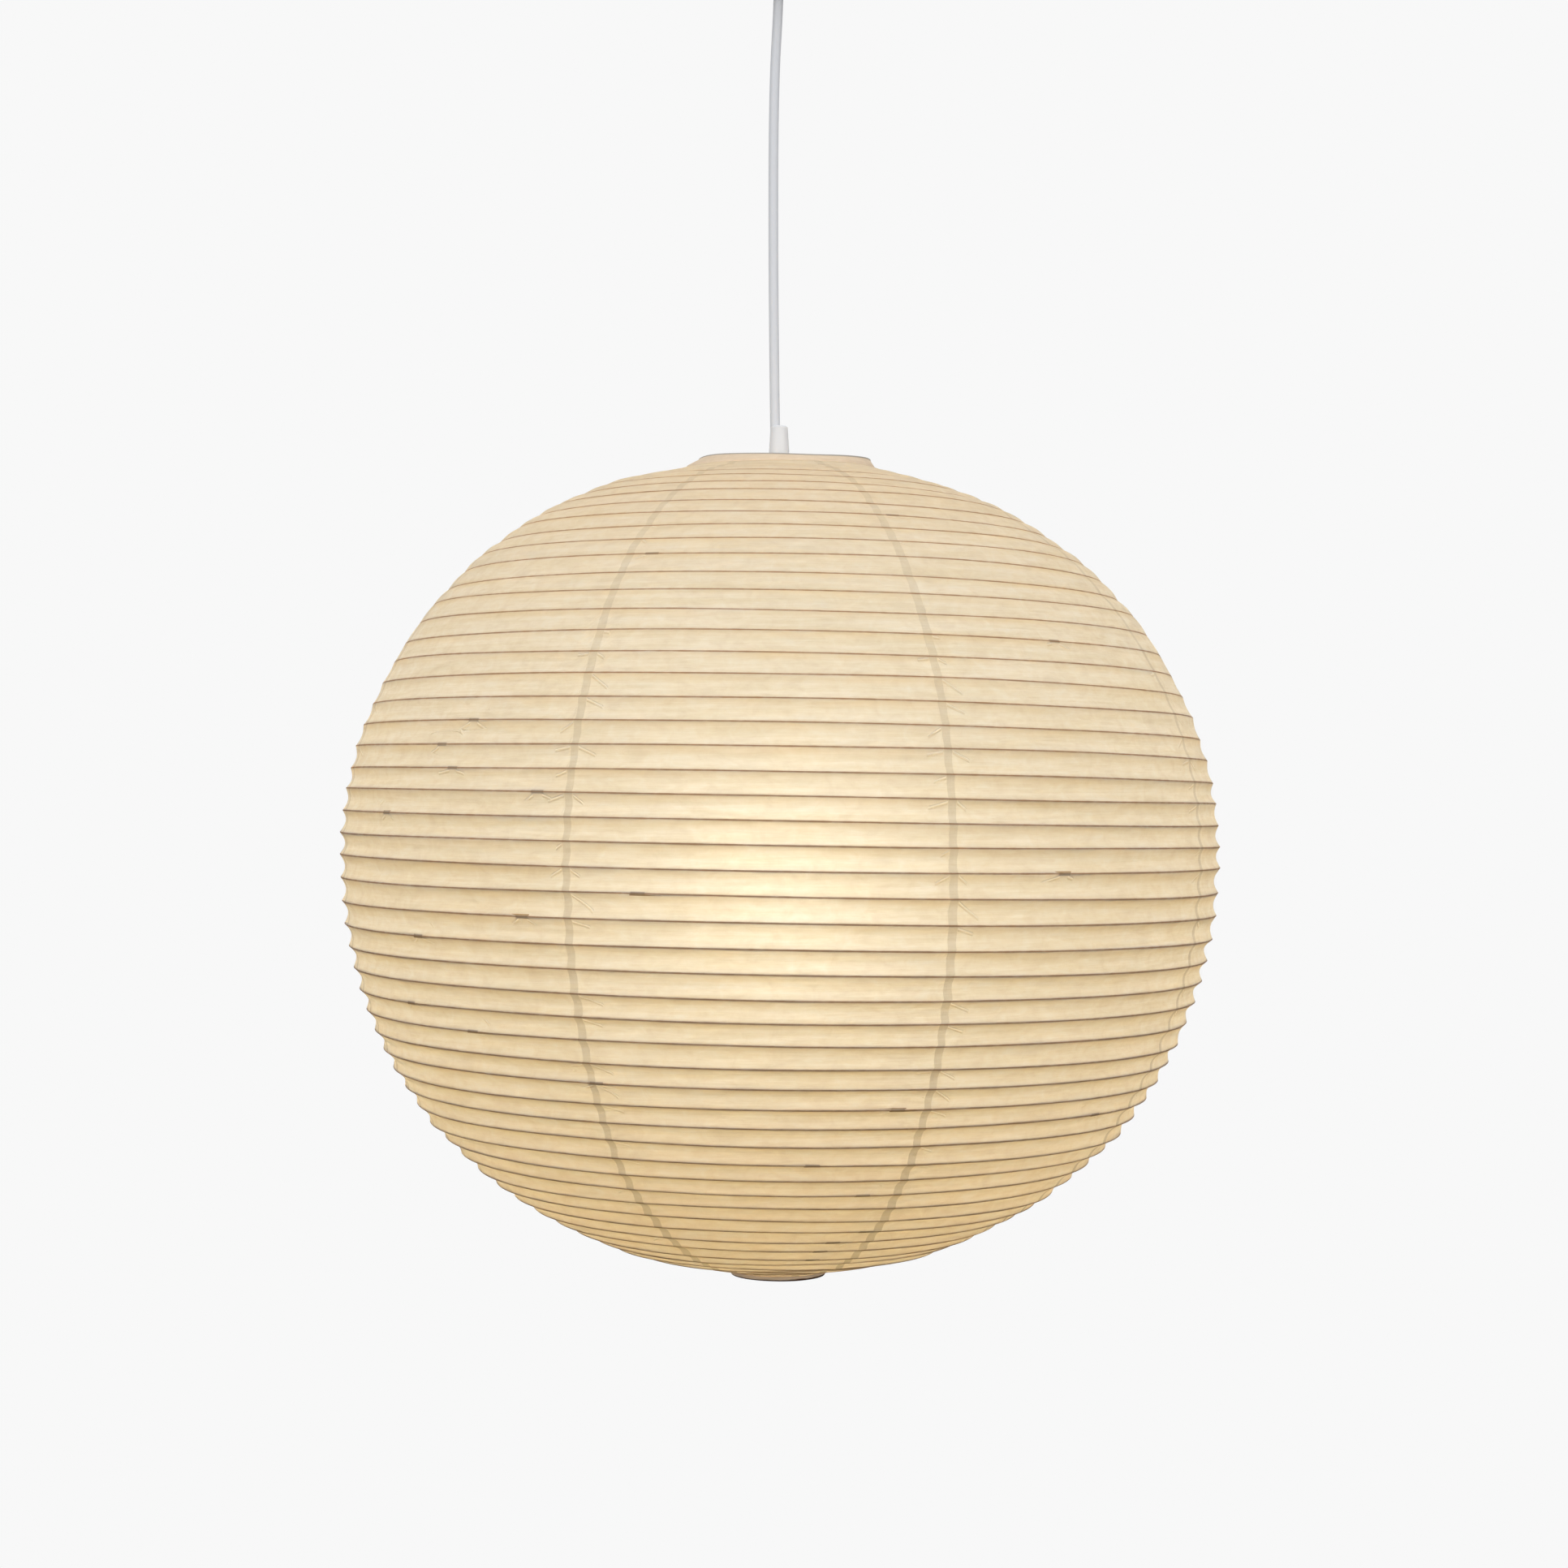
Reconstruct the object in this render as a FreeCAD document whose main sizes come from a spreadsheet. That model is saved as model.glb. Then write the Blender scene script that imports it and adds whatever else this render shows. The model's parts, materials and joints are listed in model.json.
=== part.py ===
"""Paper lantern: a pendant lamp with a round paper shade on bamboo hoops.

Millimetres, +Z up.  The origin is on the ceiling plane, at the middle of the ceiling bracket, and the
lamp hangs below it on the Z axis.  The driving sizes are in the sheet "Sizes"; the sheet "Places"
works out the levels and angles that several pieces share.
"""
import FreeCAD, Part
import math
import os
import re
import Sketcher

doc = FreeCAD.newDocument("PaperLantern")

# ---------------------------------------------------------------------------------- driving sizes
SIZES = {
    # shade
    "shade_radius": 275,             # widest radius of the paper
    "shade_middle_drop": 585,        # ceiling to the widest level
    "upper_height": 239,             # widest level up to the paper's top edge
    "lower_height": 268,             # widest level down to the paper's bottom edge
    "lower_offset": 20,              # the lower half-ellipse has its centre this far off the axis
    "paper_thickness": 0.3,
    "gore_count": 8,
    "gore_start": 20.2,              # direction of the first seam, in degrees from +X
    "hoop_count": 53,
    "hoop_spread": 2.8,              # how far the middle hoops sit below even angles, in degrees
    "hoop_rod_radius": 0.9,
    "hoop_gap": 0.15,                # glue line between a hoop and the paper
    # collars, rings and spider
    "top_opening_radius": 60,
    "rim_taper": 2.5,                # how much the top collar narrows to its rim
    "bottom_opening_radius": 30.5,
    "collar_wall": 1.3,
    "top_collar_rise": 4,            # rim above the paper's edge
    "top_collar_tuck": 3,            # collar below the paper's edge
    "bottom_collar_rise": 4,
    "bottom_collar_drop": 3,
    "tape_thickness": 0.6,
    "ring_wire_radius": 1.3,
    "ring_gap": 0.2,
    "ring_below_rim": 3,
    "spider_arm_count": 3,
    "spider_wire_radius": 1.25,
    "weld_depth": 0.4,               # how far an arm runs into the ring that it is welded to
    "eye_play": 0.8,
    "base_gap": 0.3,                 # paper to the bottom collar, which is another body
    "cut_over": 1,                   # how far a cutting solid passes the face that it cuts
    # cord and its grip
    "cord_radius": 3.1,
    "cord_rise": 9,                  # cord above the swivel's centre
    "cord_tuck": 2,                  # cord inside the lampholder's cap
    "grip_height": 29.2,             # from its top down to its flange
    "grip_chamfer": 1,
    "grip_top_radius": 5.5,
    "grip_neck_radius": 7,
    "grip_neck_height": 3.8,
    "grip_flange_radius": 14,
    "grip_flange_height": 3,
    "grip_skirt_radius": 9,
    "grip_skirt_height": 12,
    "grip_screw_radius": 1.5,
    "grip_screw_head_radius": 2.7,
    "grip_screw_head_height": 1.8,
    "rest_gap": 0.05,
    # ceiling bracket and canopy
    "canopy_radius": 50,
    "canopy_height": 32,
    "canopy_wall": 1.2,
    "canopy_corner": 8,
    "bracket_width": 22,
    "bracket_thickness": 1.5,
    "bracket_ear_height": 14,
    "bracket_ear_width": 14,
    "bracket_ear_gap": 0.5,
    "slot_spacing": 60,
    "slot_width": 5,
    "slot_length": 12,
    "canopy_screw_radius": 1.9,
    "canopy_screw_head_radius": 4,
    "canopy_screw_head_height": 2.2,
    "canopy_screw_drop": 8,
    "canopy_screw_past_ear": 1,
    "screw_slot_width": 1,
    "screw_slot_depth": 0.8,
    "screw_play": 0.2,
    # terminal block and cores
    "terminal_start": 9,             # nearest face to the axis
    "terminal_length": 13,
    "terminal_width": 20,
    "terminal_height": 12,
    "terminal_pitch": 8,
    "terminal_screw_radius": 1.6,
    "terminal_screw_sink": 4,        # depth of the well
    "terminal_screw_length": 2.5,
    "core_radius": 1.1,
    "core_spacing": 4.4,
    "core_drop": 6,                  # bracket's underside to the core's level run
    "core_bend_radius": 4,
    "core_tail": 5.5,
    # ball swivel
    "ball_radius": 7,
    "race_radius": 10,
    "swivel_play": 0.05,
    "race_below": 4.2,
    "race_above": 4,
    "housing_radius": 13,
    "housing_flange_radius": 17,
    "housing_flange_height": 3.2,
    "housing_lip": 5.2,              # swivel's centre down to the housing's lower face
    "housing_above": 8,
    "housing_nut_radius": 16.5,
    "housing_nut_height": 4,
    "retainer_hole_radius": 8.4,
    "retainer_height": 2.5,
    # lampholder
    "bulb_middle_drop": 595,         # ceiling to the centre of the bulb's globe
    "holder_radius": 19.5,
    "holder_wall": 1.6,
    "holder_height": 36,
    "holder_skirt": 1,               # barrel below the bulb's screw cap
    "holder_cap_height": 17,
    "holder_cap_side": 6,
    "holder_gland_radius": 7,
    "holder_gland_height": 12,
    "holder_gland_lip": 1.4,
    "holder_cap_shoulder": 2,        # cap's flat top outside the gland
    "holder_ring_flange": 3,         # ring beyond the barrel
    "holder_ring_height": 6,
    "holder_ring_rise": 8,           # ring above the barrel's mouth
    "shell_wall": 0.5,
    "shell_length": 24,
    "shell_rise": 1,                 # shell's mouth above the screw cap's lower end
    "thread_play": 0.08,
    "insert_height": 12,
    "insert_roof": 4,
    "tongue_radius": 4.5,
    "tongue_height": 1.2,
    # bulb
    "bulb_radius": 22.5,
    "bulb_glass": 1.2,
    "bulb_glass_rise": 6,            # globe's centre up to the glass's cut edge
    "bulb_neck_rise": 20,            # globe's centre up to the screw cap
    "bulb_neck_lip": 0.8,            # bulb's neck beyond the screw cap
    "bulb_body_wall": 1.5,
    "screw_cap_radius": 13,
    "screw_cap_length": 23,
    "screw_cap_wall": 0.6,
    "screw_cap_chamfer": 1,
    "insulator_height": 3,
    "insulator_rim": 2,              # insulator's flat top outside the tip contact
    "tip_radius": 4,
    "tip_height": 1.5,
    "led_board_thickness": 1.6,
    "led_board_gap": 2.5,            # board's edge to the glass
}

# ---------------------------------------------------------------------- levels, angles and shared sizes
PLACES = {
    "middle_level": "-shade_middle_drop",
    "paper_top": "middle_level + upper_height",
    "paper_bottom": "middle_level - lower_height",
    "top_angle": "acos(top_opening_radius / shade_radius)",
    "lower_width": "shade_radius - lower_offset",
    "bottom_angle": "acos((bottom_opening_radius - lower_offset) / lower_width)",
    "upper_axis": "upper_height / sin(top_angle)",
    "lower_axis": "lower_height / sin(bottom_angle)",
    "hoop_step": "(top_angle + bottom_angle) / (hoop_count + 1)",
    "hoop_inset": "paper_thickness + hoop_gap + hoop_rod_radius",
    "gore_angle": "360 / gore_count",
    "rim_level": "paper_top + top_collar_rise",
    "rim_radius": "top_opening_radius - rim_taper",
    "top_ring_level": "rim_level - ring_below_rim",
    "top_ring_radius": "rim_radius - collar_wall - ring_gap - ring_wire_radius",
    "base_level": "paper_bottom - bottom_collar_drop",
    "base_outer": "bottom_opening_radius - base_gap",
    "base_inner": "base_outer - collar_wall",
    "base_ring_radius": "base_inner - ring_gap - ring_wire_radius",
    "flange_level": "top_ring_level - spider_wire_radius - rest_gap",
    "grip_top_level": "flange_level + grip_height",
    "grip_skirt_level": "flange_level - grip_flange_height - grip_skirt_height",
    "eye_radius": "grip_neck_radius + eye_play + spider_wire_radius",
    "canopy_level": "-canopy_height",
    "swivel_level": "canopy_level - housing_flange_height + housing_lip",
    "socket_radius": "race_radius + swivel_play",
    "cord_top": "swivel_level + cord_rise",
    "bulb_level": "-bulb_middle_drop",
    "screw_cap_level": "bulb_level + bulb_neck_rise",
    "screw_cap_top": "screw_cap_level + screw_cap_length",
    "bulb_neck_radius": "screw_cap_radius + bulb_neck_lip",
    "holder_ring_radius": "holder_radius + holder_ring_flange",
    "contact_level": "screw_cap_top + insulator_height + tip_height + thread_play",
    "holder_level": "screw_cap_level - holder_skirt",
    "holder_top": "holder_level + holder_height",
    "shell_inner": "screw_cap_radius + thread_play",
    "shell_outer": "shell_inner + shell_wall",
    "gland_level": "holder_top + holder_cap_height",
    "cord_bottom": "gland_level - cord_tuck",
    "corner_step": "(1 - cos(45)) * canopy_corner",
    "inner_corner_step": "(1 - cos(45)) * (canopy_corner - canopy_wall)",
    "ear_outer": "sqrt(pow(canopy_radius - canopy_wall; 2) - pow(bracket_width / 2; 2)) - bracket_ear_gap",
    "ear_inner": "ear_outer - bracket_thickness",
    "terminal_level": "-bracket_thickness - terminal_height",
    "core_level": "-bracket_thickness - core_drop",
    "core_start": "terminal_start - core_bend_radius",
}

sizes_sheet = doc.addObject("Spreadsheet::Sheet", "Sizes")
places_sheet = doc.addObject("Spreadsheet::Sheet", "Places")


def bound(text):
    """An expression with each bare name replaced by its cell in one of the two sheets."""
    def cell(match):
        word = match.group(0)
        if word in SIZES:
            return "Sizes." + word
        if word in PLACES:
            return "Places." + word
        return word
    return re.sub(r"[A-Za-z_]+\w*", cell, str(text))


for row, (name, size) in enumerate(SIZES.items(), start=1):
    sizes_sheet.set("A%d" % row, name)
    sizes_sheet.set("B%d" % row, str(size))
    sizes_sheet.setAlias("B%d" % row, name)
doc.recompute()
for row, (name, formula) in enumerate(PLACES.items(), start=1):
    places_sheet.set("A%d" % row, name)
    places_sheet.set("B%d" % row, "=" + bound(formula))
    places_sheet.setAlias("B%d" % row, name)
    doc.recompute()


def number(text):
    """The present value of an expression, as a plain number."""
    found = places_sheet.evalExpression(bound(text))
    return float(getattr(found, "Value", found))


# --------------------------------------------------------------------------------- building blocks
nodes = []
made = {}


def new_name(kind):
    """A running internal name, so that helper solids never share one."""
    made[kind] = made.get(kind, 0) + 1
    return "%s_%d" % (kind, made[kind])


def bind(item, **sizes):
    """Bind properties such as Radius or Height to expressions."""
    for key, text in sizes.items():
        item.setExpression(key, bound(text))
    return item


def place(item, x=0, y=0, z=0):
    """Bind an object's position."""
    for axis, text in (("x", x), ("y", y), ("z", z)):
        item.setExpression("Placement.Base." + axis, bound(text))
    return item


def turn(item, axis, angle):
    """Rotate an object about its own origin, in degrees."""
    item.Placement.Rotation = FreeCAD.Rotation(FreeCAD.Vector(*axis), angle)
    return item


def cylinder(radius, height, x=0, y=0, z=0):
    """An upright cylinder that stands on z."""
    item = doc.addObject("Part::Cylinder", new_name("Cylinder"))
    return place(bind(item, Radius=radius, Height=height), x, y, z)


def side_cylinder(radius, height, x=0, y=0, z=0):
    """A cylinder that lies along +X, from x."""
    return turn(cylinder(radius, height, x, y, z), (0, 1, 0), 90)


def cone(bottom, top, height, z=0):
    """An upright frustum that stands on z."""
    item = doc.addObject("Part::Cone", new_name("Cone"))
    return place(bind(item, Radius1=bottom, Radius2=top, Height=height), z=z)


def sphere(radius, z=0):
    """A ball centred on the axis."""
    item = doc.addObject("Part::Sphere", new_name("Sphere"))
    return place(bind(item, Radius=radius), z=z)


def block(length, width, height, x=0, y=0, z=0):
    """A box from its lowest corner."""
    item = doc.addObject("Part::Box", new_name("Box"))
    return place(bind(item, Length=length, Width=width, Height=height), x, y, z)


def torus(radius, wire, z=0, x=0, y=0):
    """A round ring of round wire, lying flat."""
    item = doc.addObject("Part::Torus", new_name("Torus"))
    return place(bind(item, Radius1=radius, Radius2=wire), x, y, z)


def fuse(*items):
    """Join solids into one."""
    item = doc.addObject("Part::MultiFuse", new_name("Fuse"))
    item.Shapes = list(items)
    item.Refine = True
    return item


def cut(base, *tools):
    """Take solids away from a base."""
    item = doc.addObject("Part::Cut", new_name("Cut"))
    item.Base = base
    item.Tool = tools[0] if len(tools) == 1 else fuse(*tools)
    return item


def group(*items):
    """Several separate solids in one node."""
    item = doc.addObject("Part::Compound", new_name("Group"))
    item.Links = list(items)
    return item


def node(label, item):
    """Give a finished sub-part its name and put it on the export list."""
    item.Label = label
    nodes.append(item)
    return item


def turned(label, level, outline):
    """A PartDesign body turned about Z from a closed outline of (radius, height) expressions."""
    body = doc.addObject("PartDesign::Body", label + "_body")
    sketch = body.newObject("Sketcher::SketchObject", label + "_outline")
    planes = {feature.Role: feature for feature in body.Origin.OriginFeatures}
    sketch.AttachmentSupport = [(planes["XZ_Plane"], "")]
    sketch.MapMode = "FlatFace"
    points = [FreeCAD.Vector(number(radius), number(height), 0) for radius, height in outline]
    count = len(points)
    for start in range(count):
        sketch.addGeometry(Part.LineSegment(points[start], points[(start + 1) % count]), False)
    for start in range(count):
        sketch.addConstraint(Sketcher.Constraint("Coincident", start, 2, (start + 1) % count, 1))
    for start, (radius, height) in enumerate(outline):
        pair = (("DistanceX", radius, points[start].x), ("DistanceY", height, points[start].y))
        for kind, text, value in pair:
            index = sketch.addConstraint(Sketcher.Constraint(kind, -1, 1, start, 1, value))
            sketch.setExpression("Constraints[%d]" % index, bound(text))
    doc.recompute()
    revolution = body.newObject("PartDesign::Revolution", label + "_turned")
    revolution.Profile = sketch
    revolution.ReferenceAxis = (sketch, ["V_Axis"])
    revolution.Angle = 360
    body.Tip = revolution
    place(body, z=level)
    return node(label, body)


def ring_outline(inner, outer, low, high):
    """The four corners of a plain ring's section."""
    return [(inner, low), (outer, low), (outer, high), (inner, high)]


# ---------------------------------------------------------------------------------- ceiling fitting
def ceiling_bracket():
    """A steel strip with two slots for the ceiling screws and two turned-down ears."""
    strip = block("2 * ear_outer", "bracket_width", "bracket_thickness",
                  "-ear_outer", "-bracket_width / 2", "-bracket_thickness")
    pieces = [strip]
    holes = []
    for side in (-1, 1):
        ear_x = "ear_inner" if side > 0 else "-ear_outer"
        pieces.append(block("bracket_thickness", "bracket_ear_width", "bracket_ear_height",
                            ear_x, "-bracket_ear_width / 2", "-bracket_ear_height"))
        holes.append(side_cylinder("canopy_screw_radius", "3 * bracket_thickness",
                                   ear_x + " - bracket_thickness", 0, "-canopy_screw_drop"))
        middle = "%d * slot_spacing / 2" % side
        straight = "(slot_length - slot_width)"
        holes.append(block(straight, "slot_width", "3 * bracket_thickness",
                           middle + " - %s / 2" % straight, "-slot_width / 2", "-2 * bracket_thickness"))
        for end in (-1, 1):
            holes.append(cylinder("slot_width / 2", "3 * bracket_thickness",
                                  middle + " + %d * %s / 2" % (end, straight), 0, "-2 * bracket_thickness"))
    node("ceiling_bracket", cut(fuse(*pieces), *holes))


def ceiling_canopy():
    """A turned steel cup that closes round the bracket, with a hole for the swivel."""
    turned("ceiling_canopy_cup", "canopy_level", [
        ("housing_radius + screw_play", "0"),
        ("canopy_radius - canopy_corner", "0"),
        ("canopy_radius - corner_step", "corner_step"),
        ("canopy_radius", "canopy_corner"),
        ("canopy_radius", "canopy_height"),
        ("canopy_radius - canopy_wall", "canopy_height"),
        ("canopy_radius - canopy_wall", "canopy_corner"),
        ("canopy_radius - canopy_wall - inner_corner_step", "canopy_wall + inner_corner_step"),
        ("canopy_radius - canopy_corner", "canopy_wall"),
        ("housing_radius + screw_play", "canopy_wall"),
    ])
    cup = nodes.pop()
    through = side_cylinder("canopy_screw_radius + screw_play", "2 * (canopy_radius + cut_over)",
                            "-canopy_radius - cut_over", 0, "-canopy_screw_drop")
    node("ceiling_canopy", cut(cup, through))


def canopy_screws():
    """Two slotted screws that hold the canopy to the bracket's ears."""
    screws = []
    for side in (-1, 1):
        shank_length = "canopy_radius - ear_inner + canopy_screw_past_ear"
        if side > 0:
            shank_x = "ear_inner - canopy_screw_past_ear"
            head_x = "canopy_radius"
            slot_x = "canopy_radius + canopy_screw_head_height - screw_slot_depth"
        else:
            shank_x = "-canopy_radius"
            head_x = "-canopy_radius - canopy_screw_head_height"
            slot_x = head_x + " - screw_slot_depth"
        shank = side_cylinder("canopy_screw_radius", shank_length, shank_x, 0, "-canopy_screw_drop")
        head = side_cylinder("canopy_screw_head_radius", "canopy_screw_head_height",
                             head_x, 0, "-canopy_screw_drop")
        slot = block("2 * screw_slot_depth", "3 * canopy_screw_head_radius", "screw_slot_width",
                     slot_x, "-1.5 * canopy_screw_head_radius", "-canopy_screw_drop - screw_slot_width / 2")
        screws.append(cut(fuse(shank, head), slot))
    node("canopy_screws", group(*screws))


def terminal_block():
    """A two-pole block under the bracket, with its clamp screws in sunk wells."""
    body = block("terminal_length", "terminal_width", "terminal_height",
                 "terminal_start", "-terminal_width / 2", "terminal_level")
    wells = []
    screws = []
    for pole in (-1, 1):
        for end in (1, 3):
            x = "terminal_start + %d * terminal_length / 4" % end
            y = "%d * terminal_pitch / 2" % pole
            wells.append(cylinder("terminal_screw_radius + screw_play", "terminal_screw_sink",
                                  x, y, "terminal_level"))
            screws.append(cylinder("terminal_screw_radius", "terminal_screw_length",
                                   x, y, "terminal_level + terminal_screw_sink - terminal_screw_length"))
    node("terminal_block", cut(body, *wells))
    node("terminal_screws", group(*screws))


def core_wires():
    """The two insulated cores from the terminal block, bent down towards the cord."""
    wires = []
    for side in (-1, 1):
        y = "%d * core_spacing / 2" % side
        level_run = side_cylinder("core_radius", "core_bend_radius", "core_start", y, "core_level")
        bend = bind(torus("core_bend_radius", "core_radius", "core_level - core_bend_radius",
                          "core_start", y), Angle3=90)
        bend.Placement.Rotation = FreeCAD.Rotation(FreeCAD.Vector(1, 0, 0), 90).multiply(
            FreeCAD.Rotation(FreeCAD.Vector(0, 0, 1), 90))
        tail = cylinder("core_radius", "core_tail", "core_start - core_bend_radius", y,
                        "core_level - core_bend_radius - core_tail")
        wires.append(fuse(level_run, bend, tail))
    node("core_wires", group(*wires))


def ball_swivel():
    """Housing, lock nut, retainer, race and ball: the cord hangs from the ball and swings with it."""
    flange_bottom = "swivel_level - housing_lip"
    outer = fuse(cylinder("housing_flange_radius", "housing_flange_height", z=flange_bottom),
                 cylinder("housing_radius", "housing_lip + housing_above", z=flange_bottom))
    node("swivel_housing", cut(outer, sphere("socket_radius", "swivel_level"),
                               cylinder("socket_radius", "housing_above + cut_over", z="swivel_level")))
    nut_level = "canopy_level + canopy_wall"
    hexagon = doc.addObject("Part::Prism", "Housing_hexagon")
    hexagon.Polygon = 6
    bind(hexagon, Circumradius="housing_nut_radius", Height="housing_nut_height")
    place(hexagon, z=nut_level)
    bore = cylinder("housing_radius", "housing_nut_height + 2 * cut_over", z=nut_level + " - cut_over")
    node("housing_nut", cut(hexagon, bore))
    turned("swivel_retainer", "swivel_level + housing_above - retainer_height",
           ring_outline("retainer_hole_radius", "socket_radius", "0", "retainer_height"))
    zone = cylinder("race_radius + cut_over", "race_below + race_above", z="swivel_level - race_below")
    ring = doc.addObject("Part::Common", "Race_zone")
    ring.Base = sphere("race_radius", "swivel_level")
    ring.Tool = zone
    node("swivel_race", cut(ring, sphere("ball_radius + swivel_play", "swivel_level")))
    node("swivel_ball", cut(sphere("ball_radius", "swivel_level"),
                            cylinder("cord_radius", "2 * (ball_radius + cut_over)",
                                     z="swivel_level - ball_radius - cut_over")))


# ---------------------------------------------------------------------------- cord, grip, lampholder
def cord_and_grip():
    """The flex, and the grip on it that the shade's spider rests on."""
    node("pendant_cord", cylinder("cord_radius", "cord_top - cord_bottom", z="cord_bottom"))
    turned("cord_grip_turned", "flange_level", [
        ("cord_radius", "-grip_flange_height - grip_skirt_height"),
        ("grip_skirt_radius", "-grip_flange_height - grip_skirt_height"),
        ("grip_skirt_radius", "-grip_flange_height"),
        ("grip_flange_radius", "-grip_flange_height"),
        ("grip_flange_radius", "0"),
        ("grip_neck_radius", "0"),
        ("grip_neck_radius", "grip_neck_height"),
        ("grip_top_radius", "grip_height - grip_chamfer"),
        ("grip_top_radius - grip_chamfer", "grip_height"),
        ("cord_radius", "grip_height"),
    ])
    grip = nodes.pop()
    screw_level = "flange_level - grip_flange_height - grip_skirt_height / 2"
    node("cord_grip", cut(grip, side_cylinder("grip_screw_radius", "grip_skirt_radius",
                                              "cord_radius", 0, screw_level)))
    shank = side_cylinder("grip_screw_radius", "grip_skirt_radius - cord_radius - ring_gap",
                          "cord_radius + ring_gap", 0, screw_level)
    head = side_cylinder("grip_screw_head_radius", "grip_screw_head_height",
                         "grip_skirt_radius", 0, screw_level)
    node("grip_screw", fuse(shank, head))


def lampholder():
    """A screw lampholder: capped barrel, gland, outside ring, insulating insert, shell and contact."""
    turned("lampholder_barrel", "holder_level",
           ring_outline("holder_radius - holder_wall", "holder_radius", "0", "holder_height"))
    turned("lampholder_cap", "holder_top", [
        ("holder_radius - holder_wall", "0"),
        ("holder_radius", "0"),
        ("holder_radius", "holder_cap_side"),
        ("holder_gland_radius + holder_cap_shoulder", "holder_cap_height"),
        ("cord_radius", "holder_cap_height"),
        ("cord_radius", "holder_cap_height - holder_wall"),
        ("holder_gland_radius + holder_cap_shoulder / 2", "holder_cap_height - holder_wall"),
        ("holder_radius - holder_wall", "holder_cap_side - holder_wall / 2"),
    ])
    turned("lampholder_gland", "gland_level", [
        ("cord_radius", "0"),
        ("holder_gland_radius", "0"),
        ("holder_gland_radius", "holder_gland_height / 2"),
        ("cord_radius + holder_gland_lip", "holder_gland_height"),
        ("cord_radius", "holder_gland_height"),
    ])
    turned("lampholder_ring", "holder_level + holder_ring_rise",
           ring_outline("holder_radius", "holder_ring_radius", "0", "holder_ring_height"))
    turned("screw_shell", "screw_cap_level + shell_rise",
           ring_outline("shell_inner", "shell_outer", "0", "shell_length"))
    insert_level = "contact_level + tongue_height + insert_roof - insert_height"
    turned("lampholder_insert", insert_level, [
        ("0", "insert_height - insert_roof"),
        ("shell_outer", "insert_height - insert_roof"),
        ("shell_outer", "0"),
        ("holder_radius - holder_wall", "0"),
        ("holder_radius - holder_wall", "insert_height"),
        ("0", "insert_height"),
    ])
    node("centre_contact", cylinder("tongue_radius", "tongue_height", z="contact_level"))


def bulb():
    """A small opal lamp with a screw cap, which comes down out of its holder."""
    globe = cut(sphere("bulb_radius", "bulb_level"),
                sphere("bulb_radius - bulb_glass", "bulb_level"),
                cylinder("bulb_radius + cut_over", "bulb_radius + cut_over",
                         z="bulb_level + bulb_glass_rise"))
    node("bulb_globe", globe)
    shoulder = "sqrt(pow(bulb_radius; 2) - pow(bulb_glass_rise; 2))"
    neck_height = "bulb_neck_rise - bulb_glass_rise"
    turned("bulb_body", "bulb_level + bulb_glass_rise", [
        (shoulder + " - bulb_body_wall", "0"),
        (shoulder, "0"),
        ("bulb_neck_radius", neck_height),
        ("screw_cap_radius - bulb_body_wall", neck_height),
        ("screw_cap_radius - bulb_body_wall", neck_height + " - bulb_body_wall"),
    ])
    node("led_board", cylinder("bulb_radius - bulb_glass - led_board_gap", "led_board_thickness",
                               z="bulb_level + bulb_glass_rise - led_board_thickness"))
    turned("bulb_screw_cap", "screw_cap_level", [
        ("screw_cap_radius - screw_cap_wall", "0"),
        ("screw_cap_radius", "0"),
        ("screw_cap_radius", "screw_cap_length - screw_cap_chamfer"),
        ("screw_cap_radius - screw_cap_chamfer", "screw_cap_length"),
        ("screw_cap_radius - screw_cap_chamfer - screw_cap_wall", "screw_cap_length"),
        ("screw_cap_radius - screw_cap_wall", "screw_cap_length - screw_cap_chamfer"),
    ])
    node("bulb_insulator", cone("screw_cap_radius - screw_cap_chamfer", "tip_radius + insulator_rim",
                                "insulator_height", "screw_cap_top"))
    node("bulb_contact", cylinder("tip_radius", "tip_height", z="screw_cap_top + insulator_height"))


# ------------------------------------------------------------------------------------------- shade
def wire_spider():
    """A wire eye round the grip's neck, with arms welded to the top ring."""
    pieces = [torus("eye_radius", "spider_wire_radius", "top_ring_level")]
    count = int(number("spider_arm_count"))
    for arm in range(count):
        rod = side_cylinder("spider_wire_radius",
                            "top_ring_radius - ring_wire_radius + weld_depth - eye_radius",
                            0, 0, "top_ring_level")
        angle = 90 + 360 * arm / count
        place(rod, "eye_radius * cos(%g)" % angle, "eye_radius * sin(%g)" % angle, "top_ring_level")
        rod.Placement.Rotation = FreeCAD.Rotation(FreeCAD.Vector(0, 0, 1), angle).multiply(
            FreeCAD.Rotation(FreeCAD.Vector(0, 1, 0), 90))
        pieces.append(rod)
    node("wire_spider", fuse(*pieces))


def top_ring_and_collar():
    """The wire ring in the top opening, the collar that the paper ends on, and its edge tape."""
    node("top_ring", torus("top_ring_radius", "ring_wire_radius", "top_ring_level"))
    turned("top_collar", "paper_top", [
        ("top_opening_radius - collar_wall", "-top_collar_tuck"),
        ("top_opening_radius", "-top_collar_tuck"),
        ("top_opening_radius", "0"),
        ("rim_radius", "top_collar_rise"),
        ("rim_radius - collar_wall", "top_collar_rise"),
        ("top_opening_radius - collar_wall", "0"),
    ])
    turned("top_edge_tape", "rim_level", ring_outline("rim_radius - collar_wall", "rim_radius",
                                                      "0", "tape_thickness"))


def bottom_ring_and_collar():
    """The small ring and collar that weight the shade's lower end."""
    turned("bottom_collar", "paper_bottom",
           ring_outline("base_inner", "base_outer", "-bottom_collar_drop", "bottom_collar_rise"))
    node("bottom_ring", torus("base_ring_radius", "ring_wire_radius", "base_level + bottom_collar_drop / 2"))


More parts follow.
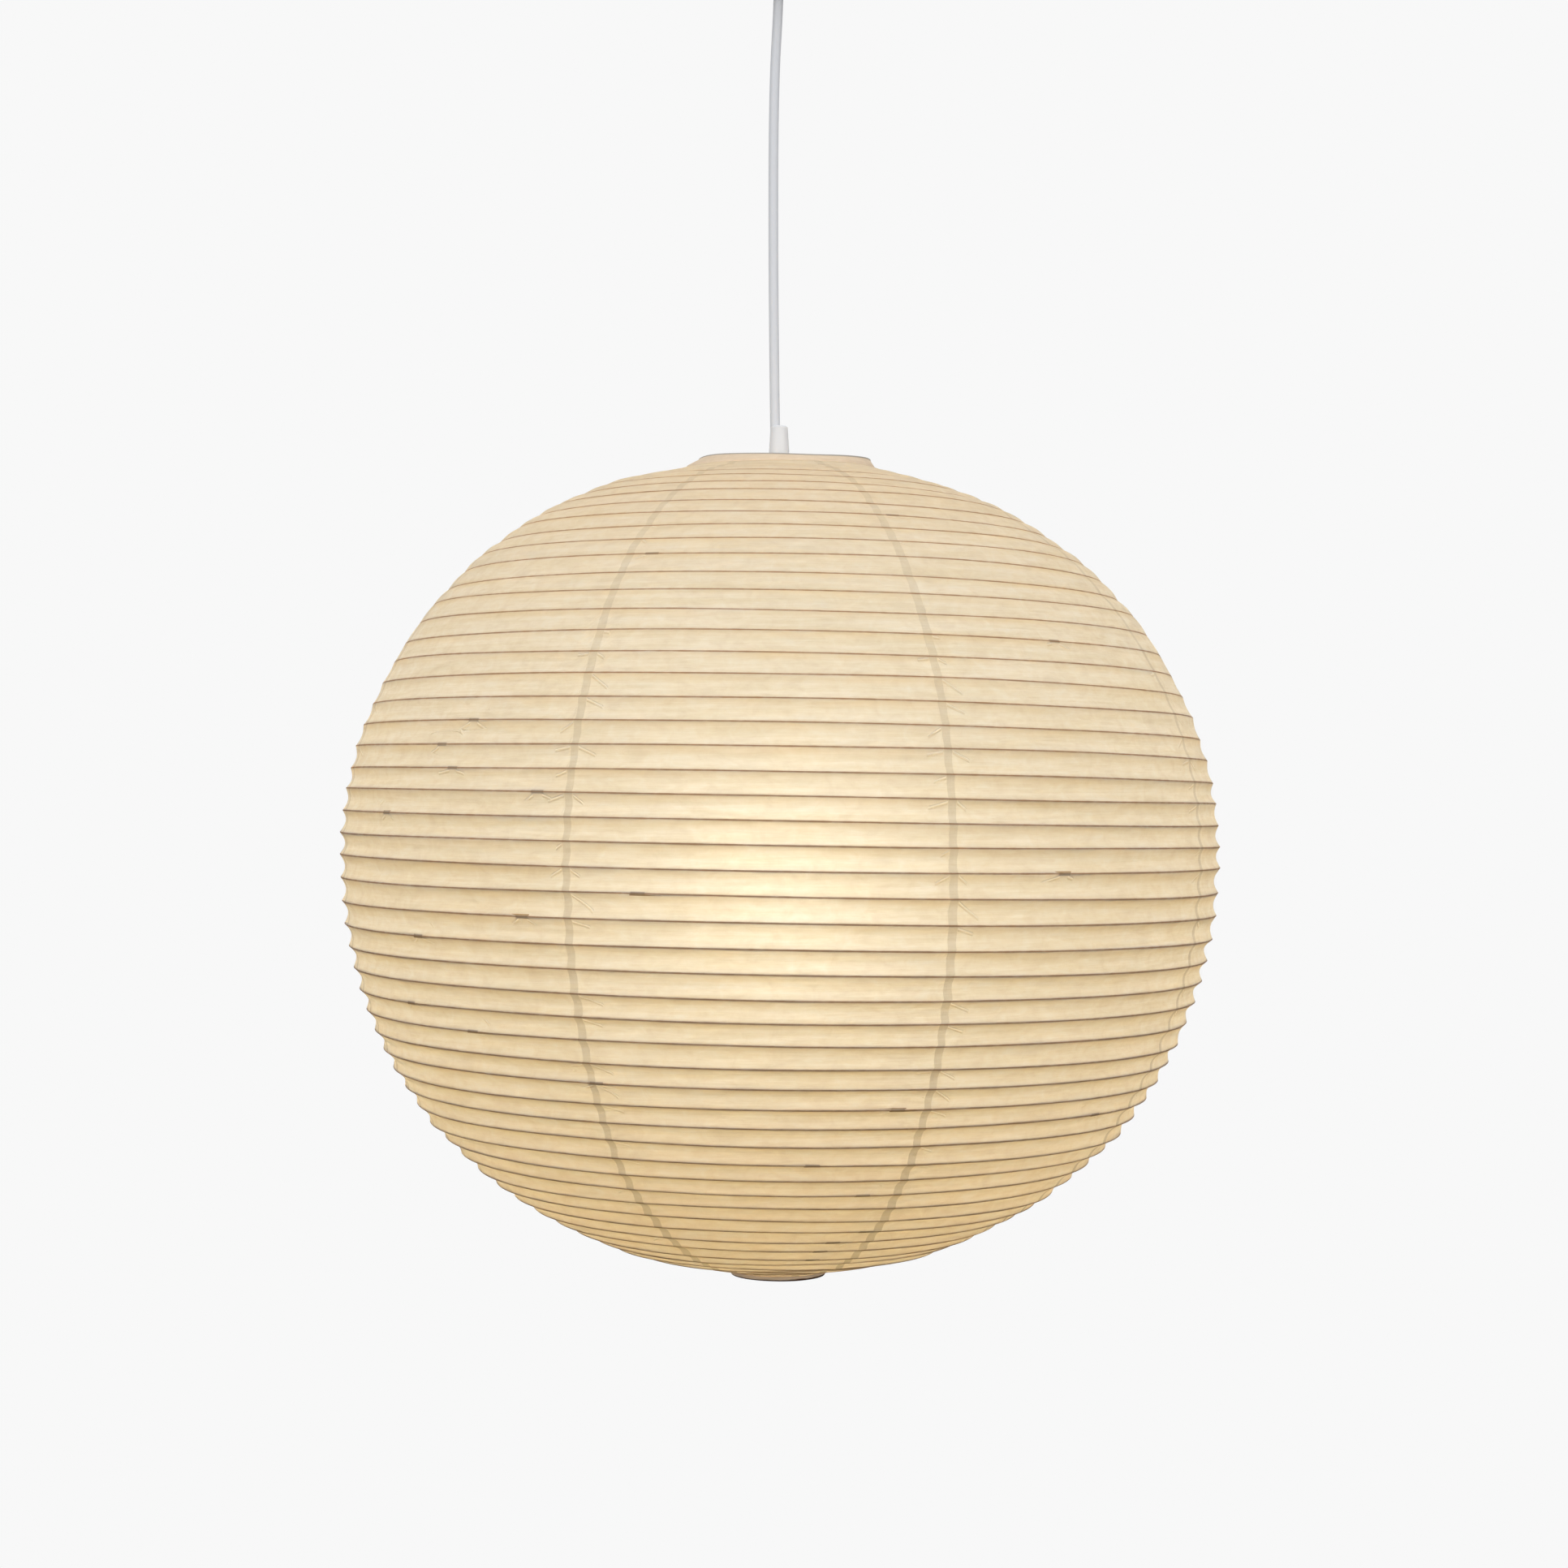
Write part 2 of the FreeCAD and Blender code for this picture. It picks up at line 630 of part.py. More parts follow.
def quarter(centre, width, height, start, end):
    """An arc of an upright ellipse in the XZ plane, from one eccentric angle to another, in degrees."""
    def on_circle(angle):
        return FreeCAD.Vector(math.cos(math.radians(angle)), 0, math.sin(math.radians(angle)))
    arc = Part.Arc(on_circle(start), on_circle((start + end) / 2), on_circle(end)).toShape()
    stretch = FreeCAD.Matrix()
    stretch.A11 = width
    stretch.A33 = height
    stretch.A14 = centre
    stretch.A34 = number("middle_level")
    return arc.transformGeometry(stretch)


def meridian(inset):
    """The two arcs of the shade's outline, moved inwards by inset, from the top edge to the bottom."""
    upper_width = number("shade_radius") - inset
    lower_width = number("lower_width") - inset
    offset = number("lower_offset")
    top_radius = number("top_opening_radius")
    bottom_radius = number("bottom_opening_radius")
    top = math.degrees(math.acos(top_radius / upper_width))
    bottom = math.degrees(math.acos((bottom_radius - offset) / lower_width))
    return [quarter(0, upper_width, number("upper_axis") - inset, top, 0),
            quarter(offset, lower_width, number("lower_axis") - inset, 0, -bottom)]


def paper_gores():
    """The paper, in gores that meet edge to edge at the seams."""
    outer = meridian(0)
    inner = meridian(number("paper_thickness"))
    ends = [Part.makeLine(outer[0].Vertexes[0].Point, inner[0].Vertexes[0].Point),
            Part.makeLine(outer[1].Vertexes[-1].Point, inner[1].Vertexes[-1].Point)]
    section = Part.Face(Part.Wire(Part.__sortEdges__(outer + inner + ends)))
    angle = number("gore_angle")
    for index in range(int(number("gore_count"))):
        gore = section.revolve(FreeCAD.Vector(0, 0, 0), FreeCAD.Vector(0, 0, 1), angle)
        item = doc.addObject("Part::Feature", "Gore_%d" % (index + 1))
        item.Shape = gore
        item.Placement = FreeCAD.Placement(FreeCAD.Vector(0, 0, 0), FreeCAD.Vector(0, 0, 1),
                                           number("gore_start") + index * angle)
        node("paper_gore_%d" % (index + 1), item)


def hoop(index):
    """One bamboo hoop inside the paper, a little further apart above the middle than below it."""
    share = "%d / (hoop_count + 1)" % index
    angle = "(top_angle - %d * hoop_step - hoop_spread * 1 deg * pow(sin(180 * %s); 3))" % (index, share)
    upper = "(shade_radius - hoop_inset) * cos(%s)" % angle
    lower = "(lower_offset + (lower_width - hoop_inset) * cos(%s))" % angle
    rise = "(upper_axis - hoop_inset) * sin(%s)" % angle
    fall = "(lower_axis - hoop_inset) * sin(%s)" % angle
    if number(angle) >= 0:
        return torus(upper, "hoop_rod_radius", "middle_level + " + rise)
    return torus(lower, "hoop_rod_radius", "middle_level + " + fall)


def hoops():
    """All the hoops, top to bottom, in nodes of six neighbours each."""
    in_a_node = 6
    total = int(number("hoop_count"))
    for first in range(1, total + 1, in_a_node):
        last = min(first + in_a_node - 1, total)
        node("hoops_%02d_to_%02d" % (first, last), group(*[hoop(index) for index in range(first, last + 1)]))


# ------------------------------------------------------------------------------------ build and write
ceiling_bracket()
ceiling_canopy()
canopy_screws()
terminal_block()
core_wires()
ball_swivel()
cord_and_grip()
lampholder()
bulb()
wire_spider()
top_ring_and_collar()
paper_gores()
hoops()
bottom_ring_and_collar()

doc.recompute()

for item in doc.Objects:
    if "Invalid" in item.State or "Error" in item.State:
        raise RuntimeError("%s failed: %s" % (item.Label, item.State))
for item in nodes:
    if item.Shape.isNull() or not item.Shape.isValid() or not item.Shape.Solids:
        raise RuntimeError("%s has no valid solid" % item.Label)

os.makedirs("parts", exist_ok=True)
for item in nodes:
    item.Shape.exportStep("parts/%s.step" % item.Label)
    print("%-22s %2d solid(s) %12.1f mm3" % (item.Label, len(item.Shape.Solids), item.Shape.Volume))
cord_length = number("cord_top - cord_bottom")
cord_section = math.pi * number("cord_radius") ** 2
cord_node = next(item for item in nodes if item.Label == "pendant_cord")
print("cord: one straight run of %.1f mm, volume over section times length %.4f"
      % (cord_length, cord_node.Shape.Volume / (cord_section * cord_length)))
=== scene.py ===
"""Looks of the paper lantern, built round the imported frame.  Metres, +Z up, the camera on the -Y side."""
import json
import math
import random

import bpy
import numpy as np
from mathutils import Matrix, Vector


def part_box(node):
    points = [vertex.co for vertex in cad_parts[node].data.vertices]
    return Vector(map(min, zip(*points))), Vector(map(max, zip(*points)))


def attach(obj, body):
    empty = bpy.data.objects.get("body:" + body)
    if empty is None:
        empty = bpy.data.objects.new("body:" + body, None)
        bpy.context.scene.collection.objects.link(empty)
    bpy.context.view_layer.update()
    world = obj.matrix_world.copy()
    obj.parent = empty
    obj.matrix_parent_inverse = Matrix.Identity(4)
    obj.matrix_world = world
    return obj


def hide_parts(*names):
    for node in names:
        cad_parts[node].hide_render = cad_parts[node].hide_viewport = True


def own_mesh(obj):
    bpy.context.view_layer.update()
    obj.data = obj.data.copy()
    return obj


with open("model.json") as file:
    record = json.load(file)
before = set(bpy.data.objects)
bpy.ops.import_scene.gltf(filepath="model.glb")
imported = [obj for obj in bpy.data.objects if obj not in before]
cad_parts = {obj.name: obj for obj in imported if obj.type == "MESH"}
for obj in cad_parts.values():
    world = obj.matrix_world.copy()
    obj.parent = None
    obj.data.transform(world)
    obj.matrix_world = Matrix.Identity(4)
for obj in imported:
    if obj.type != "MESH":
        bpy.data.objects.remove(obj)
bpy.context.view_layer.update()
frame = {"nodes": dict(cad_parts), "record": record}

MM = 0.001

# ------------------------------------------------------------------------------ facts from the frame
GORES = sorted(name for name in frame["nodes"] if name.startswith("paper_gore_"))
HOOP_NODES = sorted(name for name in frame["nodes"] if name.startswith("hoops_"))
PAPER_TOP = max(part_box(name)[1].z for name in GORES)
PAPER_BOTTOM = min(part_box(name)[0].z for name in GORES)
COLLAR_LOW, COLLAR_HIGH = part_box("top_collar")
BASE_LOW, BASE_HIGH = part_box("bottom_collar")
TOP_RADIUS = COLLAR_HIGH.x
RIM = COLLAR_HIGH.z
BOTTOM_RADIUS = BASE_HIGH.x
CORD_LOW, CORD_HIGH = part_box("pendant_cord")

# --------------------------------------------------------------------------------------- named values
GORE_START = 20.2                # first seam's direction from +X, in degrees
GORE_ANGLE = 360 / len(GORES)
LEFT_SEAM = 4                    # number of the seam at the left of the front
LEFT_SEAM_BACK = 4.5             # how far round it sits from its even place, in degrees
ROD = 0.9 * MM                   # radius of a bamboo hoop's rod
GLUE = 0.45 * MM                 # from the rod to the paper's outer face
BAND_HEIGHT = 13.8 * MM          # usual distance from hoop to hoop along the paper
COLUMNS = 64                     # mesh columns across one gore
ROWS = (0.0, 0.07, 0.19, 0.34, 0.5, 0.66, 0.81, 0.93)
LAP_LENGTH = 9.5 * MM            # lap joint of a hoop's two ends
FAR_FROM_LAP = 99.0              # the lap distance where no lap joint is near, in millimetres
# Lap joints that show at the front, given as hoop from the top, then degrees to the right of the front.
LAPS_SEEN = {8: 23, 11: -21, 15: 41, 19: -41, 20: -46, 21: -43, 22: -29, 23: -56, 25: 35, 26: -16, 27: -31,
             28: -49, 31: -54, 32: -42, 34: -24, 35: 16, 36: 53, 38: 5, 40: 14, 43: 18, 44: 12, 45: 10, 46: 9}

RIM_RADIUS = TOP_RADIUS - 6 * MM
RIM_SLOPE = 0.022
RIM_DRIFT = 2.7 * MM             # the rim leans this far towards +X over the paper's edge
RIM_LIFT = 0.7 * MM              # the paper's edge stands this far above the CAD rim
RIM_SADDLE = 3.5 * MM            # the rim's sides stand above its front and back
BASE_SLOPE = 0.010
RING_COLUMNS = 240               # mesh columns round a collar

# Seeds of the random draws.
HOOP_SEED = 409
LAP_SEED = 77
FOLD_SEED = 900
VALLEY_SEED = 300
RIM_SEED = 61
BASE_SEED = 17

HORIZON = -0.555                 # the camera's height
CAMERA_DISTANCE = 1.7296
CAMERA_ASIDE = 3.1 * MM
FOCAL_LENGTH = 62.42
PICTURE = 1932                   # width and height of the picture, in pixels
CAMERA_SHIFT = 20 / PICTURE
FLOOR_LEVEL = -4.2
FLOOR_RADIUS = 30.0
FLOOR_CORNERS = 64
FLOOR_ALBEDO = 0.14
STAGE_GREY = 248                 # the stage's grey as the camera sees it, of 255
SKY_BELOW, SKY_ABOVE = 0.06, 0.90            # the sky's light from below and from above
SKY_COLOUR = (0.94, 0.95, 0.97, 1)
SOFTBOX_SIZE = 2.4
KEY_POWER, FILL_POWER = 34, 29
BULB_GLOW = 92.0
BULB_LIGHT = (1.0, 0.90, 0.72, 1.0)


# ------------------------------------------------------------------------------------ node materials
class Graph:
    """A material's node tree, with short calls for making and joining nodes."""

    def __init__(self, name):
        self.material = bpy.data.materials.new(name)
        self.material.use_nodes = True
        self.tree = self.material.node_tree
        self.tree.nodes.clear()
        self.output = self.tree.nodes.new("ShaderNodeOutputMaterial")

    def add(self, kind, inputs=None, **settings):
        """A new node; inputs maps a socket's name or number to a value or to another node's socket."""
        made = self.tree.nodes.new("ShaderNode" + kind)
        for key, value in settings.items():
            setattr(made, key, value)
        for key, value in (inputs or {}).items():
            if isinstance(value, bpy.types.NodeSocket):
                self.tree.links.new(value, made.inputs[key])
            else:
                made.inputs[key].default_value = value
        return made

    def math(self, operation, first, second=0.0):
        """One Math node's result."""
        return self.add("Math", {0: first, 1: second}, operation=operation).outputs[0]

    def attribute(self, name):
        """A number stored on the mesh's points."""
        return self.add("Attribute", attribute_name=name).outputs["Fac"]

    def noise(self, scale, detail=3.0, roughness=0.5, vector=None, distortion=0.0):
        """Noise in object space, from 0 to 1."""
        if vector is None:
            vector = self.add("TexCoord").outputs["Object"]
        return self.add("TexNoise", {"Vector": vector, "Scale": scale, "Detail": detail,
                                     "Roughness": roughness, "Distortion": distortion}).outputs["Fac"]

    def stretched(self, x, y, z):
        """Object coordinates scaled by a different number along each axis."""
        place = self.add("TexCoord").outputs["Object"]
        return self.add("Mapping", {"Vector": place, "Scale": (x, y, z)}).outputs["Vector"]

    def ramp(self, factor, *stops):
        """A colour ramp of (position, colour) stops."""
        made = self.add("ValToRGB", {"Fac": factor})
        elements = made.color_ramp.elements
        while len(elements) < len(stops):
            elements.new(0.5)
        for element, (position, colour) in zip(elements, stops):
            element.position = position
            element.color = (*colour, 1.0)
        return made.outputs["Color"]

    def mix(self, factor, first, second):
        """Two colours mixed."""
        made = self.add("Mix", data_type="RGBA", blend_type="MIX")
        sockets = (made.inputs["Factor"], made.inputs[6], made.inputs[7])
        for socket, value in zip(sockets, (factor, first, second)):
            if isinstance(value, bpy.types.NodeSocket):
                self.tree.links.new(value, socket)
            elif socket.type == "RGBA":
                socket.default_value = (*value, 1.0)
            else:
                socket.default_value = value
        return made.outputs[2]

    def bump(self, height, strength, distance, normal=None):
        """A bump from a height."""
        inputs = {"Height": height, "Strength": strength, "Distance": distance}
        if normal is not None:
            inputs["Normal"] = normal
        return self.add("Bump", inputs).outputs["Normal"]

    def finish(self, shader):
        """Send a shader to the output and give the material."""
        self.tree.links.new(shader, self.output.inputs["Surface"])
        return self.material


def linear(red, green, blue):
    """A colour given as the 0 to 255 numbers of a screen, in linear light."""
    def one(value):
        value /= 255
        return value / 12.92 if value <= 0.04045 else ((value + 0.055) / 1.055) ** 2.4
    return one(red), one(green), one(blue)


def simple_material(name, colour, roughness, metallic=0.0, grain=0.06, grain_scale=900.0, bump=0.06):
    """A plastic, metal or wood whose colour and roughness vary finely, with a fine bump."""
    graph = Graph(name)
    fine = graph.noise(grain_scale, 4.0)
    broad = graph.noise(grain_scale / 18, 2.0)
    dark = tuple(channel * (1 - grain) for channel in colour)
    light = tuple(min(1.0, channel * (1 + grain)) for channel in colour)
    # The node's third number is left at 0.5, so this is half the noise plus a half.
    tint = graph.mix(graph.math("MULTIPLY_ADD", fine, 0.5), dark, light)
    tint = graph.mix(0.5, tint, graph.ramp(broad, (0.3, dark), (0.7, light)))
    rough = graph.add("MapRange", {"Value": broad, "To Min": roughness * 0.85, "To Max": roughness * 1.15})
    shader = graph.add("BsdfPrincipled", {
        "Base Color": tint, "Roughness": rough.outputs[0], "Metallic": metallic,
        "Normal": graph.bump(fine, bump, 0.2 * MM)})
    return graph.finish(shader.outputs["BSDF"])


def fade(graph, value, full, gone):
    """1 where value is at most full, 0 where it is at least gone, smooth between."""
    made = graph.add("MapRange", {"Value": value, "From Min": full, "From Max": gone,
                                  "To Min": 1.0, "To Max": 0.0}, interpolation_type="SMOOTHSTEP")
    return made.outputs[0]


def crease_strokes(graph, away, side, below, cell, seed, share):
    """Short slanting creases beside a seam or lap joint, on a random share of the bands, as masks of a
    painted highlight along each crease and a painted shadow just below it.

    away is the distance from the mark and below is the distance under the hoop, both in millimetres;
    side is -1 or 1."""
    key = graph.add("CombineXYZ", {0: cell, 1: graph.math("SIGN", side), 2: float(seed)}).outputs[0]
    dice_colour = graph.add("TexWhiteNoise", {"Vector": key}, noise_dimensions="3D").outputs["Color"]
    parts = graph.add("SeparateColor", {"Color": dice_colour})
    chosen = graph.math("LESS_THAN", parts.outputs[0], share)
    out = graph.math("SUBTRACT", away, 2.9)
    slope = graph.add("MapRange", {"Value": parts.outputs[1], "To Min": 0.12, "To Max": 0.75}).outputs[0]
    centre = graph.math("ADD", graph.math("MULTIPLY", out, slope), 1.3)
    length = graph.add("MapRange", {"Value": parts.outputs[2], "To Min": 4.0, "To Max": 13.0}).outputs[0]
    inside = graph.math("MULTIPLY", graph.math("GREATER_THAN", out, 0.0),
                        fade(graph, graph.math("SUBTRACT", out, length), -1.5, 0.0))
    offset = graph.math("SUBTRACT", below, centre)
    present = graph.math("MULTIPLY", chosen, inside)
    # Painted highlight along the crease, and painted shadow about a millimetre below it.
    crease_highlight = graph.math("MULTIPLY", present, fade(graph, graph.math("ABSOLUTE", offset), 0.15, 0.75))
    from_shadow = graph.math("ABSOLUTE", graph.math("SUBTRACT", offset, 0.95))
    shadow = graph.math("MULTIPLY", present, fade(graph, from_shadow, 0.1, 0.9))
    return crease_highlight, shadow


def paper_material():
    """Pale mulberry paper over bamboo, lit from inside: fibres, hoop lines, seams, lap joints, creases drawn
    as painted highlights and shadows, painted shade under the hoops and a painted warm tint at the top and
    bottom.
    """
    graph = Graph("shade_paper")
    band = graph.attribute("band")
    seam = graph.attribute("seam_mm")
    seam_side = graph.attribute("seam_side")
    lap = graph.attribute("lap_mm")
    lap_side = graph.attribute("lap_side")
    cell = graph.math("FLOOR", band)
    share = graph.math("FRACT", band)
    below = graph.math("MULTIPLY", share, BAND_HEIGHT / MM)
    from_hoop = graph.math("SUBTRACT", band, graph.math("ROUND", band))
    to_hoop = graph.math("MULTIPLY", graph.math("ABSOLUTE", from_hoop), BAND_HEIGHT / MM)
    near_base = graph.math("SUBTRACT", 1.0, fade(graph, band, 38.0, 50.0))
    wider = graph.math("ADD", graph.math("ADD", fade(graph, band, 2.0, 14.0), 1.0),
                       graph.math("MULTIPLY", near_base, 0.6))
    wobble = graph.noise(160.0, 2.0)
    fine = graph.noise(1.0, 5.0, 0.6, graph.stretched(90, 90, 1100), 0.5)
    streaks = graph.noise(1.0, 4.0, 0.55, graph.stretched(16, 16, 420), 0.3)
    clouds = graph.noise(1.0, 4.0, 0.6, graph.stretched(85, 85, 130), 0.6)
    broad = graph.noise(1.0, 3.0, 0.55, graph.stretched(9, 9, 48), 0.4)

    unsteady = graph.math("MULTIPLY", graph.math("SUBTRACT", wobble, 0.5), 0.5)
    line = fade(graph, graph.math("ADD", graph.math("DIVIDE", to_hoop, wider), unsteady), 0.16, 0.58)
    # Painted shade: a darker, warmer tone just under each hoop, weaker just over it, where the folded paper
    # faces away from the room light; broad noise makes it patchy.
    shade_under_hoop = fade(graph, share, 0.03, 0.5)
    shade_over_hoop = fade(graph, graph.math("SUBTRACT", 1.0, share), 0.02, 0.16)
    patchy = graph.add("MapRange", {"Value": broad, "From Min": 0.35, "From Max": 0.65,
                                    "To Min": 0.2, "To Max": 1.0}).outputs[0]
    hoop_shade = graph.math("MAXIMUM", shade_under_hoop, graph.math("MULTIPLY", shade_over_hoop, 0.6))
    fold_shade = graph.math("MULTIPLY", hoop_shade, patchy)
    ragged = graph.math("ADD", seam, graph.math("MULTIPLY", wobble, 0.9))
    seam_mask = fade(graph, ragged, 2.65, 3.1)
    lap_mask = graph.math("MULTIPLY", fade(graph, lap, 3.6, 4.6), fade(graph, to_hoop, 0.7, 1.2))
    stronger_below = graph.add("MapRange", {"Value": band, "From Min": 8.0, "From Max": 50.0,
                                            "To Min": 0.24, "To Max": 0.62}).outputs[0]
    seam_strength = graph.math("MULTIPLY", seam_mask, stronger_below)
    seam_highlight, seam_shadow = crease_strokes(graph, seam, seam_side, below, cell, 3, 0.40)
    lap_highlight, lap_shadow = crease_strokes(graph, lap, lap_side, below, cell, 8, 0.8)
    crease_highlight = graph.math("MAXIMUM", seam_highlight, lap_highlight)
    shadow = graph.math("MAXIMUM", seam_shadow, lap_shadow)

    # The paper as room light shows it, with painted light added: a warm tint at the top and bottom bands,
    # painted shade under the hoops, and painted highlights and shadows at the creases.
    body = graph.ramp(clouds, (0.3, (0.835, 0.805, 0.69)), (0.5, (0.86, 0.84, 0.735)),
                      (0.72, (0.89, 0.875, 0.79)))
    body = graph.mix(0.13, body, graph.ramp(fine, (0.35, (0.66, 0.60, 0.46)), (0.65, (0.96, 0.94, 0.88))))
    body = graph.mix(0.30, body, graph.ramp(streaks, (0.38, (0.72, 0.66, 0.48)), (0.62, (0.96, 0.95, 0.89))))
    # Painted light: a warm tint of the bulb's light over the top bands and, more strongly, over the lower
    # bands.
    lower_part = graph.math("SUBTRACT", 1.0, fade(graph, band, 30.0, 47.0))
    ends = graph.math("ADD", graph.math("MULTIPLY", fade(graph, band, 2.0, 16.0), 0.40),
                      graph.math("MULTIPLY", lower_part, 0.66))
    body = graph.mix(ends, body, (0.86, 0.66, 0.42))
    # Painted shade under the hoops: darker and more ochre.
    body = graph.mix(graph.math("MULTIPLY", fold_shade, 0.48), body, (0.82, 0.66, 0.36))
    body = graph.mix(graph.math("MULTIPLY", seam_strength, 0.65), body, (0.56, 0.47, 0.29))
    # Painted shadow below the creases, then painted highlight along them.
    body = graph.mix(graph.math("MULTIPLY", shadow, 0.35), body, (0.72, 0.60, 0.38))
    body = graph.mix(graph.math("MULTIPLY", crease_highlight, 0.42), body, (0.97, 0.95, 0.88))
    body = graph.mix(graph.math("MULTIPLY", line, 0.80), body, (0.44, 0.215, 0.09))
    body = graph.mix(graph.math("MULTIPLY", lap_mask, 0.45), body, (0.38, 0.24, 0.12))

    # The paper as the bulb's light comes through it, with painted shade under the hoops and painted
    # highlights at the creases.
    glow = graph.ramp(clouds, (0.3, (0.87, 0.69, 0.37)), (0.5, (0.96, 0.80, 0.47)),
                      (0.72, (1.0, 0.89, 0.62)))
    glow = graph.mix(0.12, glow, graph.ramp(fine, (0.35, (0.66, 0.44, 0.18)), (0.65, (1.0, 0.90, 0.66))))
    # Painted shade under the hoops in the light coming through: a deeper orange.
    glow = graph.mix(graph.math("MULTIPLY", fold_shade, 0.26), glow, (0.92, 0.60, 0.20))
    glow = graph.mix(seam_strength, glow, (0.40, 0.29, 0.11))
    # Painted highlight of the creases in the light coming through.
    glow = graph.mix(graph.math("MULTIPLY", crease_highlight, 0.35), glow, (1.0, 0.92, 0.72))
    glow = graph.mix(graph.math("MULTIPLY", line, 0.65), glow, (0.50, 0.24, 0.08))
    glow = graph.mix(graph.math("MULTIPLY", lap_mask, 0.5), glow, (0.24, 0.16, 0.08))

    near_seam = fade(graph, seam, 3.0, 16.0)
    from_seam = graph.math("MULTIPLY", seam, seam_side)
    slant = graph.math("ADD", graph.math("MULTIPLY", from_seam, 0.10), graph.math("MULTIPLY", band, 1.3))
    slanted = graph.add("CombineXYZ", {0: slant, 1: graph.math("MULTIPLY", band, 0.9),
                                       2: graph.math("MULTIPLY", cell, 3.7)}).outputs[0]
    wrinkle = graph.math("MULTIPLY", graph.noise(1.0, 2.0, 0.5, slanted), near_seam)
    normal = graph.bump(fine, 0.22, 0.4 * MM)
    normal = graph.bump(seam_mask, 0.22, 0.3 * MM, normal)
    normal = graph.bump(wrinkle, 0.5, 1.6 * MM, normal)
    normal = graph.bump(graph.math("SUBTRACT", crease_highlight, shadow), 0.6, 0.5 * MM, normal)
    front = graph.add("BsdfPrincipled", {"Base Color": body, "Roughness": 1.0, "Normal": normal, "IOR": 1.45,
                                         "Specular IOR Level": 0.3, "Transmission Weight": 0.13})
    through = graph.add("BsdfTranslucent", {"Color": glow, "Normal": normal})
    shader = graph.add("MixShader", {0: 0.42, 1: front.outputs[0], 2: through.outputs[0]})
    return graph.finish(shader.outputs[0])


# ----------------------------------------------------------------------------------- mesh helpers
def grid_object(name, points, close_u=False, attributes=None):
    """A smooth-shaded mesh from a grid of points, rows by columns by 3."""
    rows, columns = points.shape[:2]
    index = np.arange(rows * columns).reshape(rows, columns)
    right = np.roll(index, -1, axis=1) if close_u else index[:, 1:]
    left = index if close_u else index[:, :-1]
    faces = np.stack([left[:-1], right[:-1], right[1:], left[1:]], axis=-1).reshape(-1, 4)
    mesh = bpy.data.meshes.new(name)
    mesh.from_pydata(points.reshape(-1, 3).tolist(), [], faces.tolist())
    for key, values in (attributes or {}).items():
        layer = mesh.attributes.new(key, "FLOAT", "POINT")
        layer.data.foreach_set("value", np.ascontiguousarray(values, dtype=np.float32).ravel())
    mesh.polygons.foreach_set("use_smooth", [True] * len(mesh.polygons))
    mesh.update()
    made = bpy.data.objects.new(name, mesh)
    bpy.context.scene.collection.objects.link(made)
    return made


def joined(name, items):
    """Several meshes as one object."""
    with bpy.context.temp_override(active_object=items[0], object=items[0], selected_objects=items,
                                   selected_editable_objects=items):
        bpy.ops.object.join()
    items[0].name = name
    items[0].data.name = name
    return items[0]


def give(item, material):
    """One material on the whole object."""
    item.data.materials.clear()
    item.data.materials.append(material)


def loose_rings(node):
    """Radius and height of each separate ring in a CAD node, top first.

    Points fall into small cells of (radius, height), and cells that lie close together are one ring."""
    cell = 0.2 * MM
    reach = range(-4, 5)
    mesh = frame["nodes"][node].data
    points = np.empty(len(mesh.vertices) * 3)
    mesh.vertices.foreach_get("co", points)
    points = points.reshape(-1, 3)
    radius = np.hypot(points[:, 0], points[:, 1])
    found = []
    keys = np.unique(np.round(np.stack([radius, points[:, 2]], 1) / cell).astype(int), axis=0)
    cells = {tuple(key) for key in keys}
    while cells:
        stack = [cells.pop()]
        part = list(stack)
        while stack:
            across, up = stack.pop()
            for step_a in reach:
                for step_u in reach:
                    near = (across + step_a, up + step_u)
                    if near in cells:
                        cells.remove(near)
                        stack.append(near)
                        part.append(near)
        part = np.array(part) * cell
        middle = (part.min(axis=0) + part.max(axis=0)) / 2
        found.append((float(middle[0]), float(middle[1])))
    return sorted(found, key=lambda ring: -ring[1])


# ------------------------------------------------------------------------------- the shade's shape
HOOPS = sorted((ring for name in HOOP_NODES for ring in loose_rings(name)), key=lambda ring: -ring[1])
BANDS = len(HOOPS) + 1
EDGES = [(TOP_RADIUS, PAPER_TOP)] + HOOPS + [(BOTTOM_RADIUS + 0.3 * MM, PAPER_BOTTOM)]


def outward(index):
    """The unit normal of the shade's outline at one hoop, in (radius, height)."""
    before = EDGES[max(index - 1, 0)]
    after = EDGES[min(index + 1, BANDS)]
    along = Vector((after[0] - before[0], after[1] - before[1])).normalized()
    return Vector((-along.y, along.x))


RIDGES = []
for number, (radius, height) in enumerate(EDGES):
    lift = ROD + GLUE if 0 < number < BANDS else 0.0
    normal = outward(number)
    RIDGES.append((radius + lift * normal.x, height + lift * normal.y, normal.x, normal.y))
RIDGES = np.array(RIDGES)

# How the hung shade sags: hoop from the top, then its outward and its upward shift in millimetres.
SLUMP = ((0, 0, 0), (1, 0, -0.9), (3, 0.8, 0.6), (6, 1.6, 2.0), (11, 1.2, 0.6), (16, 0.2, -0.6),
         (23, 1.2, -0.6), (29, 2.4, 0.5), (34, 3.2, 0), (38, 3.2, -0.6), (42, -1.5, -1.2), (46, -6.0, -0.6),
         (50, -7.0, 1.4), (52, -6.0, 2.4), (53, -4.0, 2.0), (54, 0, 0))

